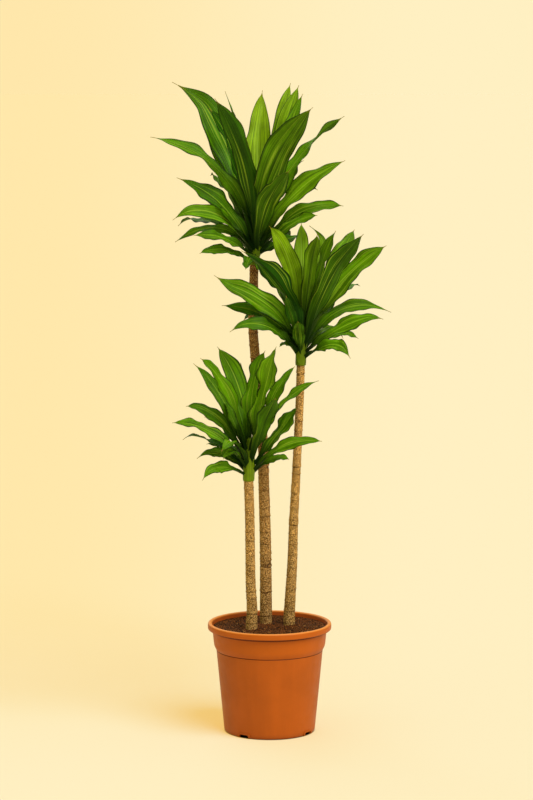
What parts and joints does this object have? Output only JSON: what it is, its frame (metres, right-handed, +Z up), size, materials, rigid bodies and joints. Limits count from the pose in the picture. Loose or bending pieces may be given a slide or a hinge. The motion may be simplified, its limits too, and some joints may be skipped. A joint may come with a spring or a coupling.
{
  "type": "potted corn plant",
  "caption": "Potted corn plant: bare woody canes of staggered heights in a round plastic grow pot, each topped with a rosette of broad waved leaves.",
  "frame": {"origin": "middle of the pot's underside, on the surface that it stands on", "axes": "+Z up along the canes; the low cane stands to -X and the middle cane to +X, and the viewer of the front is on the -Y side"},
  "size_m": [0.4655, 0.3658, 1.2537],
  "materials": {
    "pot_plastic": "satin",
    "soil": "matte",
    "bark": "matte",
    "leaf": "satin"
  },
  "bodies": {
    "root": {"pot": "pot_plastic", "soil": "soil", "cane_low": "bark", "cane_middle": "bark", "cane_tall": "bark", "crown_low": "leaf", "crown_middle": "leaf", "crown_tall": "leaf"}
  },
  "joints": []
}
